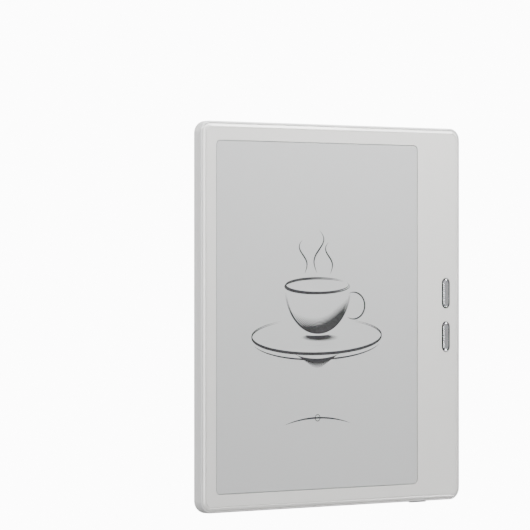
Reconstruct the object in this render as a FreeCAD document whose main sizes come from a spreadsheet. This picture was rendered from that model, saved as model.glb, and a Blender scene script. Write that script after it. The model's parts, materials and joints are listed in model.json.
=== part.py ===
import FreeCAD, Part
import math
import os
from types import SimpleNamespace

import Sketcher

# A seven inch e-reader with page keys in a wide grip on its right side.
#
# Frame: the reader stands upright. X runs across it, towards the grip side. Z runs up it.
# The screen looks along -Y. The origin is the centre of the rear face.
# "Depth" below is the distance from the rear face towards the screen, so Y = -depth.

doc = FreeCAD.newDocument("EReader")

# ---------------------------------------------------------------- sizes, in millimetres

DRIVING_SIZES = {
    # housing
    "body_width": 137.0,
    "body_height": 156.0,
    "body_depth": 6.4,
    "corner_radius": 5.0,
    "lip_drop": 0.35,
    "lip_round": 0.7,
    "bezel_edge_width": 1.45,
    "bezel_edge_drop": 0.45,
    "back_round": 2.5,
    "side_wall": 1.3,
    "back_wall": 1.2,
    "cavity_round": 1.0,
    "lip_width": 0.8,
    "seam_gap": 0.15,
    "bezel_thickness": 1.2,
    "rim_groove_width": 0.16,
    "rim_groove_depth": 0.12,
    "skirt_inset": 1.5,
    "skirt_wall": 0.9,
    "skirt_height": 1.2,
    "clip_length": 4.0,
    "clip_reach": 0.5,
    "clip_height": 0.6,
    "clip_play": 0.3,
    # rear panels, inlaid flush in the rear cover
    "panel_margin": 2.4,
    "panel_corner": 2.8,
    "panel_thickness": 0.5,
    "panel_groove": 0.12,
    "panel_strip": 1.35,
    "panel_split": 43.4,
    # screen window and the layers behind it
    "window_width": 105.55,
    "window_height": 140.93,
    "window_across": -8.12,
    "window_up": -0.1,
    "window_corner": 2.0,
    "window_gap": 0.15,
    "screen_recess": 0.12,
    "module_overlap": 2.5,
    "module_ledge": 7.4,
    "gasket_thickness": 0.15,
    "gasket_width": 1.6,
    "touch_thickness": 0.3,
    "guide_thickness": 0.4,
    "film_thickness": 0.25,
    "film_overlap": 1.4,
    "glass_thickness": 0.5,
    "driver_width": 2.4,
    "driver_length": 22.0,
    "driver_thickness": 0.2,
    "lamp_pitch": 12.6,
    "lamp_length": 2.6,
    "lamp_width": 0.8,
    "lamp_height": 0.3,
    "lamp_strip_width": 1.9,
    "frame_plate": 0.4,
    # page keys
    "key_width": 4.4,
    "key_length": 12.6,
    "key_across": 60.35,
    "key_middle": -0.3,
    "key_pitch": 18.25,
    "key_proud": 0.5,
    "key_chamfer": 0.45,
    "key_play": 0.2,
    "key_flange": 0.6,
    "key_flange_thickness": 0.4,
    "key_nub_radius": 1.1,
    "key_nub_height": 0.25,
    "dome_radius": 1.8,
    "dome_height": 0.2,
    # power button on the lower edge
    "power_length": 9.0,
    "power_width": 2.0,
    "power_across": 47.2,
    "power_depth": 3.2,
    "power_proud": 0.55,
    "power_play": 0.15,
    "power_flange_reach": 0.8,
    "power_flange_thickness": 0.45,
    "power_nub_radius": 0.7,
    "power_nub_height": 0.35,
    "switch_gap": 0.35,
    # ports in the grip side wall
    "port_up": 68.5,
    "port_depth": 3.1,
    "port_length": 8.94,
    "port_height": 3.26,
    "port_reach": 7.3,
    "port_shell": 0.3,
    "port_play": 0.12,
    "tongue_length": 6.2,
    "tongue_height": 0.7,
    "tongue_reach": 4.6,
    "sound_hole": 1.0,
    "sound_pitch": 2.0,
    "upper_sound_up": 53.7,
    "lower_sound_up": -61.1,
    "sound_depth": 3.1,
    "tray_up": 27.35,
    "tray_depth": 3.2,
    "tray_length": 15.7,
    "tray_width": 2.5,
    "tray_reach": 15.5,
    "tray_face": 1.6,
    "tray_play": 0.12,
    "tray_slide_bottom": 19.9,
    "tray_slide_length": 13.0,
    "tray_slide_back": 2.75,
    "tray_slide_thickness": 1.1,
    "card_length": 15.0,
    "card_width": 11.0,
    "card_thickness": 0.75,
    "pin_hole_up": 34.15,
    "pin_hole": 0.8,
    "socket_wall": 0.2,
    "socket_play": 0.15,
    "rod_width": 1.0,
    "rod_thickness": 0.6,
    "rod_back": 2.5,
    "rod_left": 52.1,
    "rod_right": 65.2,
    "rod_head": 1.4,
    "lever_width": 1.4,
    "lever_across": 51.0,
    "lever_pivot_up": 30.5,
    "lever_upper_arm": 4.3,
    "lever_lower_arm": 3.3,
    "pivot_radius": 0.45,
    "pivot_play": 0.12,
    # circuit board, shields and screws
    "board_left": 16.0,
    "board_right": 66.0,
    "board_bottom": -30.0,
    "board_top": 75.4,
    "board_back": 1.6,
    "board_thickness": 0.8,
    "board_neck": 55.0,
    "can_wall": 0.2,
    "screw_radius": 0.5,
    "screw_head_radius": 1.05,
    "screw_head_height": 0.35,
    "screw_hole_radius": 0.6,
    "screw_boss_radius": 1.15,
    "speaker_recess": 0.5,
    "mesh_thickness": 1.0,
    "flex_thickness": 0.12,
}

# Flat inner pieces: centre across, centre up, width, height, depth of the rear side, thickness.
FLAT_PIECES = {
    "battery_pack": (-22.0, 0.0, 60.0, 90.0, 1.35, 1.75),
    "battery_board": (-22.0, 47.4, 44.0, 4.0, 2.0, 1.0),
    "battery_socket": (19.6, 47.4, 4.0, 9.0, 2.4, 0.7),
    "processor_shield": (29.0, 29.5, 20.0, 25.5, 2.4, 0.75),
    "processor_chip": (29.0, 35.0, 13.0, 13.0, 2.4, 0.5),
    "memory_chip": (29.0, 22.6, 12.0, 8.0, 2.4, 0.45),
    "power_shield": (29.0, -2.0, 20.0, 22.0, 2.4, 0.75),
    "power_chip": (29.0, 1.5, 7.0, 7.0, 2.4, 0.5),
    "storage_chip": (29.0, -8.0, 13.0, 9.0, 2.4, 0.5),
    "wireless_module": (46.2, 3.0, 10.0, 12.0, 2.4, 0.7),
    "display_connector": (44.5, 52.0, 4.0, 20.0, 2.4, 0.55),
    "touch_connector": (26.0, 59.0, 12.0, 4.0, 2.4, 0.55),
    "audio_chip": (42.0, 34.0, 4.0, 4.0, 2.4, 0.5),
    "hall_sensor": (46.0, -24.0, 3.0, 1.6, 2.4, 0.6),
    "wireless_antenna": (-25.0, 72.0, 34.0, 6.0, 1.2, 0.15),
    "page_key_board": (60.4, -0.3, 7.6, 36.6, 3.3, 0.6),
    "power_switch": (47.2, -74.15, 4.0, 1.9, 2.62, 1.16),
    "upper_speaker": (61.3, 53.7, 9.2, 15.4, 1.6, 3.3),
    "lower_speaker": (61.3, -61.1, 9.2, 15.4, 1.6, 3.3),
}
FLAT_NAMES = ("across", "up", "width", "height", "back", "thickness")

BOARD_SCREWS = ((18.5, -27.0), (51.5, -27.0), (18.2, 72.2), (52.0, 66.5), (42.0, 22.0))
FRAME_SCREWS = ((-48.0, 74.2), (-2.0, 74.2), (38.0, 74.2), (-48.0, -74.2), (-2.0, -74.2),
                (34.0, -74.2), (55.2, 40.5), (55.2, -36.0))
MAGNETS = ((-62.6, 40.0), (-62.6, -40.0), (12.0, 66.0), (12.0, -66.0))
MAGNET_SIZE = (2.6, 12.0, 1.4, 1.6)
BATTERY_TAPES = (-38.0, -6.0)
BATTERY_TAPE_SIZE = (10.0, 80.0, 3.1, 0.1)
BATTERY_WIRES = (45.6, 47.4, 49.2)
BATTERY_WIRE_RADIUS = 0.3
SOUND_HOLES = 8
LAMPS = 11
CLIPS_UP = {-1: (-52.0, -26.0, 0.0, 26.0, 52.0), 1: (-26.0, 0.0)}
CLIPS_ACROSS = (-44.0, 0.0, 30.0)
# Gaps in the bezel's skirt, beside the openings of the side walls.
SKIRT_GAP_REACH = 5
SKIRT_GAP_PLAY = 0.8


class Size:
    """A length that knows both its value and the spreadsheet formula that gives it."""

    def __init__(self, value, formula):
        self.value = value
        self.formula = formula

    def __add__(self, other):
        other = as_size(other)
        return Size(self.value + other.value, f"({self.formula} + {other.formula})")

    def __sub__(self, other):
        other = as_size(other)
        return Size(self.value - other.value, f"({self.formula} - {other.formula})")

    def __mul__(self, other):
        other = as_size(other)
        return Size(self.value * other.value, f"({self.formula} * {other.formula})")

    def __truediv__(self, other):
        other = as_size(other)
        return Size(self.value / other.value, f"({self.formula} / {other.formula})")

    def __neg__(self):
        return Size(-self.value, f"(0 - {self.formula})")

    def __radd__(self, other):
        return as_size(other) + self

    def __rsub__(self, other):
        return as_size(other) - self

    def __rmul__(self, other):
        return as_size(other) * self


def as_size(number):
    if isinstance(number, Size):
        return number
    return Size(float(number), f"({float(number):g})")


def fill_sheet():
    """Write every size into the spreadsheet and hand back names for the formulas."""
    cells = dict(DRIVING_SIZES)
    for piece, numbers in FLAT_PIECES.items():
        for name, number in zip(FLAT_NAMES, numbers):
            cells[f"{piece}_{name}"] = number
    sheet = doc.addObject("Spreadsheet::Sheet", "Sizes")
    names = SimpleNamespace()
    for row, (alias, number) in enumerate(cells.items(), start=1):
        sheet.set(f"A{row}", alias)
        sheet.set(f"B{row}", f"{number:g}")
        sheet.setAlias(f"B{row}", alias)
        setattr(names, alias, Size(number, f"Sizes.{alias}"))
    doc.recompute()
    return names


size = fill_sheet()


def bind(thing, prop, length):
    """Let the spreadsheet drive one property."""
    thing.setExpression(prop, as_size(length).formula)


# ---------------------------------------------------------------- drawing tools

# Each sketch plane has its own place rule: which way the sketch looks, and how a point
# (across, depth, up) of the reader is written in the sketch's own axes.
PLANES = {
    "front": ("XZ_Plane", lambda across, depth, up: (across, up, depth)),
    "side": ("YZ_Plane", lambda across, depth, up: (-as_size(depth), up, across)),
    "top": ("XY_Plane", lambda across, depth, up: (across, -as_size(depth), up)),
}


def origin_plane(body, role):
    for feature in body.Origin.OriginFeatures:
        if feature.Role == role:
            return feature
    raise RuntimeError(f"{body.Label} has no {role}")


def new_sketch(body, facing, across, depth, up):
    role, place = PLANES[facing]
    sketch = body.newObject("Sketcher::SketchObject", f"{body.Name}_sketch")
    sketch.AttachmentSupport = [(origin_plane(body, role), "")]
    sketch.MapMode = "FlatFace"
    for axis, length in zip("xyz", place(across, depth, up)):
        bind(sketch, f"AttachmentOffset.Base.{axis}", length)
    return sketch


def measure(sketch, constraint, name, length):
    """Add a dimension to a sketch and let the spreadsheet drive it."""
    index = sketch.addConstraint(constraint)
    sketch.renameConstraint(index, name)
    bind(sketch, f"Constraints.{name}", length)


def rounded_rectangle(sketch, width, height, radius):
    """A rectangle with round corners, centred on the sketch."""
    width, height, radius = as_size(width), as_size(height), as_size(radius)
    right, top, round_off = width.value / 2, height.value / 2, radius.value
    inner_right, inner_top = right - round_off, top - round_off
    corners = ((inner_right, -inner_top, -90), (inner_right, inner_top, 0),
               (-inner_right, inner_top, 90), (-inner_right, -inner_top, 180))
    lines = (((-inner_right, -top), (inner_right, -top)), ((right, -inner_top), (right, inner_top)),
             ((inner_right, top), (-inner_right, top)), ((-right, inner_top), (-right, -inner_top)))
    for (start, end), (centre_x, centre_y, angle) in zip(lines, corners):
        sketch.addGeometry(Part.LineSegment(FreeCAD.Vector(*start, 0), FreeCAD.Vector(*end, 0)))
        circle = Part.Circle(FreeCAD.Vector(centre_x, centre_y, 0), FreeCAD.Vector(0, 0, 1), round_off)
        sketch.addGeometry(Part.ArcOfCircle(circle, math.radians(angle), math.radians(angle + 90)))
    for index in range(8):
        sketch.addConstraint(Sketcher.Constraint("Tangent", index, 2, (index + 1) % 8, 1))
    sketch.addConstraint(Sketcher.Constraint("Symmetric", 0, 1, 0, 2, -2))
    sketch.addConstraint(Sketcher.Constraint("Symmetric", 2, 1, 2, 2, -1))
    sketch.addConstraint(Sketcher.Constraint("Horizontal", 4))
    sketch.addConstraint(Sketcher.Constraint("Vertical", 6))
    for index in (1, 3, 5):
        sketch.addConstraint(Sketcher.Constraint("Equal", index, index + 2))
    measure(sketch, Sketcher.Constraint("Radius", 1, round_off), "radius", radius)
    measure(sketch, Sketcher.Constraint("DistanceX", 6, 1, 2, 2, width.value), "width", width)
    measure(sketch, Sketcher.Constraint("DistanceY", 0, 2, 4, 1, height.value), "height", height)


def stadium(sketch, width, height):
    """A slot outline, centred on the sketch: two half circles joined by two straight sides."""
    width, height = as_size(width), as_size(height)
    upright = height.value > width.value
    across = width if upright else height
    centres = (height - width) if upright else (width - height)
    radius, reach = across.value / 2, centres.value / 2
    turn = 0 if upright else -90
    spin = math.radians(turn)

    def at(x, y):
        return FreeCAD.Vector(x * math.cos(spin) - y * math.sin(spin),
                              x * math.sin(spin) + y * math.cos(spin), 0)

    for centre, angle, side in ((reach, 0, -radius), (-reach, 180, radius)):
        circle = Part.Circle(at(0, centre), FreeCAD.Vector(0, 0, 1), radius)
        sketch.addGeometry(Part.ArcOfCircle(circle, math.radians(angle + turn),
                                            math.radians(angle + turn + 180)))
        sketch.addGeometry(Part.LineSegment(at(side, centre), at(side, -centre)))
    for index in range(4):
        sketch.addConstraint(Sketcher.Constraint("Tangent", index, 2, (index + 1) % 4, 1))
    sketch.addConstraint(Sketcher.Constraint("Symmetric", 0, 3, 2, 3, -1, 1))
    sketch.addConstraint(Sketcher.Constraint("PointOnObject", 0, 3, -2 if upright else -1))
    sketch.addConstraint(Sketcher.Constraint("Vertical" if upright else "Horizontal", 1))
    measure(sketch, Sketcher.Constraint("Radius", 0, radius), "radius", across / 2)
    kind = "DistanceY" if upright else "DistanceX"
    measure(sketch, Sketcher.Constraint(kind, 2, 3, 0, 3, centres.value), "centres", centres)


def polygon(sketch, points):
    """A closed outline through points given as pairs of sizes from the sketch's origin."""
    count = len(points)
    corners = [FreeCAD.Vector(as_size(x).value, as_size(y).value, 0) for x, y in points]
    for index in range(count):
        sketch.addGeometry(Part.LineSegment(corners[index], corners[(index + 1) % count]))
    for index in range(count):
        sketch.addConstraint(Sketcher.Constraint("Coincident", index, 2, (index + 1) % count, 1))
    for index, (x, y) in enumerate(points):
        for kind, length, name in (("DistanceX", as_size(x), f"across{index}"),
                                   ("DistanceY", as_size(y), f"up{index}")):
            constraint = Sketcher.Constraint(kind, -1, 1, index, 1, length.value)
            measure(sketch, constraint, name, length)


def prism(label, facing, outline, centre, length):
    """A body padded from one sketch. outline is a drawing function and its sizes."""
    body = doc.addObject("PartDesign::Body", label)
    body.Label = label
    sketch = new_sketch(body, facing, *centre)
    draw, *numbers = outline
    draw(sketch, *numbers)
    pad = body.newObject("PartDesign::Pad", f"{label}_pad")
    pad.Profile = sketch
    bind(pad, "Length", length)
    sketch.Visibility = False
    body.Tip = pad
    return body


def block(label, across, depth, up):
    """A box from its limits across the reader, in depth and up it."""
    box = doc.addObject("Part::Box", label)
    box.Label = label
    for prop, (low, high) in (("Length", across), ("Width", depth), ("Height", up)):
        bind(box, prop, as_size(high) - as_size(low))
    bind(box, "Placement.Base.x", across[0])
    bind(box, "Placement.Base.y", -as_size(depth[1]))
    bind(box, "Placement.Base.z", up[0])
    return box


# Turns that lay a cylinder, which is born along Z, along each way of the reader.
CYLINDER_TURNS = {
    "front": FreeCAD.Rotation(FreeCAD.Vector(1, 0, 0), 90),
    "side": FreeCAD.Rotation(FreeCAD.Vector(0, 1, 0), 90),
    "top": FreeCAD.Rotation(),
}


def cylinder(label, facing, centre, radius, length, top_radius=None):
    """A round bar or, with a top radius, a cone. It starts at centre and runs towards facing."""
    kind = "Part::Cylinder" if top_radius is None else "Part::Cone"
    bar = doc.addObject(kind, label)
    bar.Label = label
    if top_radius is None:
        bind(bar, "Radius", radius)
    else:
        bind(bar, "Radius1", radius)
        bind(bar, "Radius2", top_radius)
    bind(bar, "Height", length)
    across, depth, up = centre
    bar.Placement = FreeCAD.Placement(FreeCAD.Vector(), CYLINDER_TURNS[facing])
    bind(bar, "Placement.Base.x", across)
    bind(bar, "Placement.Base.y", -as_size(depth))
    bind(bar, "Placement.Base.z", up)
    return bar


def cut(label, base, tools):
    """Take each tool away from the base in turn."""
    result = base
    for index, tool in enumerate(tools):
        step = doc.addObject("Part::Cut", f"{label}_cut{index}")
        step.Base = result
        step.Tool = tool
        result = step
    result.Label = label
    return result


def fuse(label, pieces):
    joined = doc.addObject("Part::MultiFuse", f"{label}_fuse")
    joined.Shapes = pieces
    joined.Label = label
    return joined


def common(label, first, second):
    shared = doc.addObject("Part::Common", f"{label}_common")
    shared.Base = first
    shared.Tool = second
    shared.Label = label
    return shared


def group(label, pieces):
    """Separate solids that share one node."""
    compound = doc.addObject("Part::Compound", f"{label}_group")
    compound.Links = pieces
    compound.Label = label
    return compound


def edges_where(shape, test):
    return [f"Edge{index}" for index, edge in enumerate(shape.Edges, start=1) if test(edge)]


def lies_at_depth(edge, depth):
    box = edge.BoundBox
    return abs(box.YMin + depth) < 1e-4 and abs(box.YMax + depth) < 1e-4


def dress_edges(body, kind, name, depth, amount):
    """Fillet or chamfer every edge of a body that lies in the plane at this depth."""
    doc.recompute()
    base = body.Tip
    edges = edges_where(base.Shape, lambda edge: lies_at_depth(edge, depth.value))
    feature = body.newObject(f"PartDesign::{kind}", f"{body.Name}_{name}_edge")
    feature.Base = (base, edges)
    bind(feature, "Radius" if kind == "Fillet" else "Size", amount)
    body.Tip = feature
    doc.recompute()
    return body


def flat_limits(piece):
    """The limits of one row of FLAT_PIECES, as block wants them."""
    across, up, width, height, back, thickness = (
        getattr(size, f"{piece}_{name}") for name in FLAT_NAMES)
    return ((across - width / 2, across + width / 2), (back, back + thickness),
            (up - height / 2, up + height / 2))


NODES = []


def keep(piece):
    """Mark an object as one of the reader's sub-parts."""
    NODES.append(piece)
    return piece


# ---------------------------------------------------------------- housing

half_width = size.body_width / 2
half_height = size.body_height / 2
bezel_back = size.body_depth - size.bezel_thickness
beyond = 2.0
# How far a boss or pin digs into its neighbour, so that the two fuse.
weld = 0.1


def inset_plate(label, inset, back, thickness):
    """A plate that follows the reader's outline at a distance inside it."""
    outline = (rounded_rectangle, size.body_width - 2 * inset, size.body_height - 2 * inset,
               size.corner_radius - inset)
    return prism(label, "front", outline, (0, back, 0), thickness)


def inset_ring(label, inset, wall, back, thickness):
    outer = inset_plate(f"{label}_outside", inset, back, thickness)
    inner = inset_plate(f"{label}_inside", inset + wall, back, thickness)
    return cut(label, outer, [inner])


def make_outer_form():
    """The rear cover's outer form: a plate with a tight round at its lip and a wide one at the back."""
    lip = size.body_depth - size.lip_drop
    body = inset_plate("outer_form", as_size(0), 0, lip)
    dress_edges(body, "Fillet", "lip", lip, size.lip_round)
    return dress_edges(body, "Fillet", "back", as_size(0), size.back_round)


def make_cavity():
    """The hollow of the rear cover, rounded where the walls meet the floor."""
    body = inset_plate("cover_cavity", size.side_wall, size.back_wall, size.body_depth)
    return dress_edges(body, "Fillet", "floor", size.back_wall, size.cavity_round)


def panel_limits():
    """Where the two rear panels lie across the reader: the main one, then the grip one."""
    edge = half_width - size.panel_margin
    strip = size.panel_strip / 2
    return {"rear_main_panel": (-edge, size.panel_split - strip),
            "rear_grip_panel": (size.panel_split + strip, edge)}


def panel_plate(label, limits, grow, thickness):
    low, high = limits
    outline = (rounded_rectangle, high - low + 2 * as_size(grow),
               size.body_height - 2 * size.panel_margin + 2 * as_size(grow),
               size.panel_corner + grow)
    return prism(label, "front", outline, ((low + high) / 2, 0, 0), thickness)


def sound_holes(side, up):
    """A row of round holes through the grip side wall, at an even pitch."""
    label = f"{side}_sound_holes"
    first_up = up - size.sound_pitch * (SOUND_HOLES - 1) / 2
    holes = []
    for index in range(SOUND_HOLES):
        centre = (half_width - size.side_wall - beyond, size.sound_depth,
                  first_up + size.sound_pitch * index)
        holes.append(cylinder(f"{label}_{index}", "side", centre, size.sound_hole / 2,
                              size.side_wall + 2 * beyond))
    return holes


def clip_places():
    """Centre of each snap clip and the way it points, as (across, up, points across)."""
    places = []
    for side, ups in CLIPS_UP.items():
        places += [(side, up, True) for up in ups]
        places += [(side, across, False) for across in CLIPS_ACROSS]
    return places


def clip_blocks(label, inset, reach, play):
    """Clip-shaped blocks on every place: the lugs, or with play the pockets they snap into."""
    blocks = []
    back = size.body_depth - size.bezel_thickness - size.skirt_height + 0.15
    for index, (side, along, points_across) in enumerate(clip_places()):
        half = half_width if points_across else half_height
        outer, inner = half - inset + reach, half - inset - as_size(0.2)
        limits = (inner, outer) if side > 0 else (-outer, -inner)
        length = (as_size(along) - size.clip_length / 2 - play,
                  as_size(along) + size.clip_length / 2 + play)
        depth = (back - play / 2, back + size.clip_height + play / 2)
        across, up = (limits, length) if points_across else (length, limits)
        blocks.append(block(f"{label}_{index}", across, depth, up))
    return blocks


outer_form = make_outer_form()


def make_rear_cover():
    seat = inset_plate("bezel_seat", size.lip_width, bezel_back - weld, size.body_depth)
    recesses = [panel_plate(f"{label}_recess", limits, size.panel_groove, size.panel_thickness)
                for label, limits in panel_limits().items()]
    port = prism("port_opening", "side",
                 (stadium, size.port_height + 2 * size.port_play, size.port_length + 2 * size.port_play),
                 (half_width - 2 * size.side_wall, size.port_depth, size.port_up), beyond + 2)
    tray = prism("tray_opening", "side",
                 (stadium, size.tray_width + 2 * size.tray_play, size.tray_length + 2 * size.tray_play),
                 (half_width - 2 * size.side_wall, size.tray_depth, size.tray_up), beyond + 2)
    power = prism("power_opening", "top",
                  (stadium, size.power_length + 2 * size.power_play,
                   size.power_width + 2 * size.power_play),
                  (size.power_across, size.power_depth, -half_height - beyond),
                  beyond + 2 * size.side_wall)
    pockets = clip_blocks("clip_pocket", size.side_wall, size.clip_reach, size.clip_play)
    tools = [make_cavity(), seat, port, tray, power] + recesses + pockets
    tools += sound_holes("upper", size.upper_sound_up) + sound_holes("lower", size.lower_sound_up)
    return keep(cut("rear_cover", outer_form, tools))


def make_rear_panels():
    for label, limits in panel_limits().items():
        keep(panel_plate(label, limits, 0, size.panel_thickness))


def key_centres():
    half = size.key_pitch / 2
    return {"page_up_key": size.key_middle + half, "page_down_key": size.key_middle - half}


def window_plate(label, grow, back, thickness, radius):
    outline = (rounded_rectangle, size.window_width + 2 * as_size(grow),
               size.window_height + 2 * as_size(grow), radius)
    return prism(label, "front", outline, (size.window_across, back, size.window_up), thickness)


def slope_front_edge(body):
    """Slope the bezel's front edge: wide across the face, shallow in depth."""
    dress_edges(body, "Chamfer", "front", size.body_depth, size.bezel_edge_drop)
    slope = body.Tip
    slope.ChamferType = "Two distances"
    bind(slope, "Size2", size.bezel_edge_width)
    doc.recompute()
    front = min(slope.Shape.Faces, key=lambda face: face.CenterOfMass.y)
    flat_width = size.body_width - 2 * (size.lip_width + size.seam_gap + size.bezel_edge_width)
    if abs(front.BoundBox.XLength - flat_width.value) > size.rim_groove_depth.value:
        slope.FlipDirection = True


def make_front_bezel():
    face = inset_plate("bezel_face", size.lip_width + size.seam_gap, bezel_back, size.bezel_thickness)
    slope_front_edge(face)
    window = window_plate("window_opening", 0, bezel_back - beyond, size.body_depth,
                          size.window_corner)
    slots = [prism(f"{label}_slot", "front",
                   (stadium, size.key_width + 2 * size.key_play, size.key_length + 2 * size.key_play),
                   (size.key_across, bezel_back - beyond, up), size.body_depth)
             for label, up in key_centres().items()]
    groove_inset = size.lip_width + size.seam_gap + size.bezel_edge_width
    groove = inset_ring("rim_groove", groove_inset, size.rim_groove_width,
                        size.body_depth - size.rim_groove_depth, beyond)
    skirt = inset_ring("bezel_skirt", size.skirt_inset, size.skirt_wall,
                       bezel_back - size.skirt_height, size.skirt_height)
    skirt_back = bezel_back - size.skirt_height
    gaps = []
    for name, up, length in (("port", size.port_up, size.port_length),
                             ("tray", size.tray_up, size.tray_length)):
        gaps.append(block(f"skirt_gap_{name}", (half_width - SKIRT_GAP_REACH, half_width),
                          (skirt_back - 1, bezel_back),
                          (up - length / 2 - SKIRT_GAP_PLAY, up + length / 2 + SKIRT_GAP_PLAY)))
    gaps.append(block("skirt_gap_power",
                      (size.power_across - size.power_length, size.power_across + size.power_length),
                      (skirt_back - 1, bezel_back), (-half_height, -half_height + SKIRT_GAP_REACH)))
    lugs = clip_blocks("clip_lug", size.skirt_inset, size.clip_reach, as_size(0))
    open_skirt = cut("open_skirt", skirt, gaps)
    bosses = [cylinder(f"bezel_boss_{index}", "front", (across, frame_front(), up),
                       size.screw_boss_radius, bezel_back - frame_front())
              for index, (across, up) in enumerate(FRAME_SCREWS)]
    holes = [cylinder(f"bezel_boss_hole_{index}", "front", (across, frame_front() - weld, up),
                      size.screw_radius, bezel_back - frame_front())
             for index, (across, up) in enumerate(FRAME_SCREWS)]
    whole = fuse("bezel_blank", [face, open_skirt] + lugs + bosses)
    return keep(cut("front_bezel", whole, [window, groove] + slots + holes))


# ---------------------------------------------------------------- screen stack

def module_limits():
    """The screen module's outline, wider than the window, with a ledge on the grip side."""
    left = size.window_across - size.window_width / 2 - size.module_overlap
    right = size.window_across + size.window_width / 2 + size.module_ledge
    bottom = size.window_up - size.window_height / 2 - size.module_overlap + 0.2
    top = size.window_up + size.window_height / 2 + size.module_overlap - 0.2
    return left, right, bottom, top


def gasket_back():
    return bezel_back - size.gasket_thickness


def touch_back():
    return gasket_back() - size.touch_thickness


def guide_back():
    return touch_back() - size.guide_thickness


def film_back():
    return guide_back() - size.film_thickness


def glass_back():
    return film_back() - size.glass_thickness


def frame_front():
    return glass_back()


def frame_back():
    return frame_front() - size.frame_plate


def make_screen():
    left, right, bottom, top = module_limits()
    cover_front = size.body_depth - size.screen_recess
    keep(window_plate("screen_cover", -size.window_gap, gasket_back(), cover_front - gasket_back(),
                      size.window_corner - size.window_gap))
    ring = window_plate("gasket_outside", size.gasket_width + 0.3, gasket_back(),
                        size.gasket_thickness, size.window_corner)
    hole = window_plate("gasket_inside", 0.3, gasket_back(), size.gasket_thickness,
                        size.window_corner)
    keep(cut("display_gasket", ring, [hole]))
    keep(block("touch_panel", (left, right - 0.4), (touch_back(), gasket_back()), (bottom, top)))
    keep(block("light_guide", (left, right - 0.4), (guide_back(), touch_back()), (bottom, top)))
    keep(window_plate("ink_film", size.film_overlap, film_back(), size.film_thickness,
                      size.window_corner / 2))
    keep(block("display_backplane", (left, right), (glass_back(), film_back()), (bottom, top)))
    drivers = []
    for index, up in enumerate((-34.0, 34.0)):
        drivers.append(block(f"display_driver_{index}",
                             (right - size.driver_width - 1.2, right - 1.2),
                             (film_back(), film_back() + size.driver_thickness),
                             (up - size.driver_length / 2, up + size.driver_length / 2)))
    keep(group("display_drivers", drivers))
    strip_left = right - 0.3
    keep(block("light_strip", (strip_left, strip_left + size.lamp_strip_width),
               (touch_back(), touch_back() + 0.2), (-68, 68)))
    lamps = []
    for index in range(LAMPS):
        up = size.lamp_pitch * (index - (LAMPS - 1) / 2)
        lamps.append(block(f"lamp_{index}", (strip_left, strip_left + size.lamp_width),
                           (touch_back() - size.lamp_height, touch_back()),
                           (up - size.lamp_length / 2, up + size.lamp_length / 2)))
    keep(group("light_strip_lamps", lamps))


def make_midframe():
    """The stiff plate between the screen and the electronics."""
    edge = size.skirt_inset + size.skirt_wall + 0.15
    left, right = -half_width + edge, as_size(56.5)
    top = half_height - edge
    _, module_right, _, module_top = module_limits()
    plate = block("midframe_plate", (left, right), (frame_back(), frame_front()), (-top, top))
    bosses = [cylinder(f"board_boss_{index}", "front", (across, board_front(), up),
                       size.screw_boss_radius, frame_back() - board_front() + weld)
              for index, (across, up) in enumerate(BOARD_SCREWS)]
    through = (frame_back() - 1, frame_front() + 1)
    tools = [block("midframe_tray_gap", (module_right + 0.02, right + 1), through,
                   (size.tray_up - 9, size.tray_up + 8.2)),
             block("midframe_power_gap", (size.power_across - 6, size.power_across + 6), through,
                   (-top - 1, -top + 3.4)),
             block("display_flex_slot", (module_right + 0.1, module_right + 1.5), through, (41, 63)),
             block("touch_flex_slot", (19.5, 32.5), through, (module_top + 0.05, module_top + 1.25))]
    tools += [cylinder(f"frame_screw_hole_{index}", "front", (across, frame_back() - 1, up),
                       size.screw_hole_radius, size.frame_plate + 2)
              for index, (across, up) in enumerate(FRAME_SCREWS)]
    tools += [cylinder(f"board_boss_hole_{index}", "front", (across, board_front() - weld, up),
                       size.screw_radius, frame_front() - board_front() + 0.2)
              for index, (across, up) in enumerate(BOARD_SCREWS)]
    keep(cut("midframe", fuse("midframe_blank", [plate] + bosses), tools))


# ---------------------------------------------------------------- page keys and power button

def key_flange_back():
    return bezel_back - 0.1 - size.key_flange_thickness


def make_page_keys():
    front = size.body_depth + size.key_proud
    domes = []
    board_face = size.page_key_board_back + size.page_key_board_thickness
    for label, up in key_centres().items():
        back = key_flange_back()
        cap = prism(f"{label}_cap", "front", (stadium, size.key_width, size.key_length),
                    (size.key_across, back, up), front - back)
        dress_edges(cap, "Chamfer", "front", front, size.key_chamfer)
        flange = prism(f"{label}_flange", "front",
                       (stadium, size.key_width + 2 * size.key_flange,
                        size.key_length + 2 * size.key_flange),
                       (size.key_across, back, up), size.key_flange_thickness)
        nub = cylinder(f"{label}_nub", "front", (size.key_across, back - size.key_nub_height, up),
                       size.key_nub_radius, size.key_nub_height + weld)
        keep(fuse(label, [cap, flange, nub]))
        domes.append(cylinder(f"{label}_dome", "front", (size.key_across, board_face, up),
                              size.dome_radius, size.dome_height, size.dome_radius * 0.5))
    keep(group("page_key_domes", domes))
    keep(block("page_key_board", *flat_limits("page_key_board")))


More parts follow.
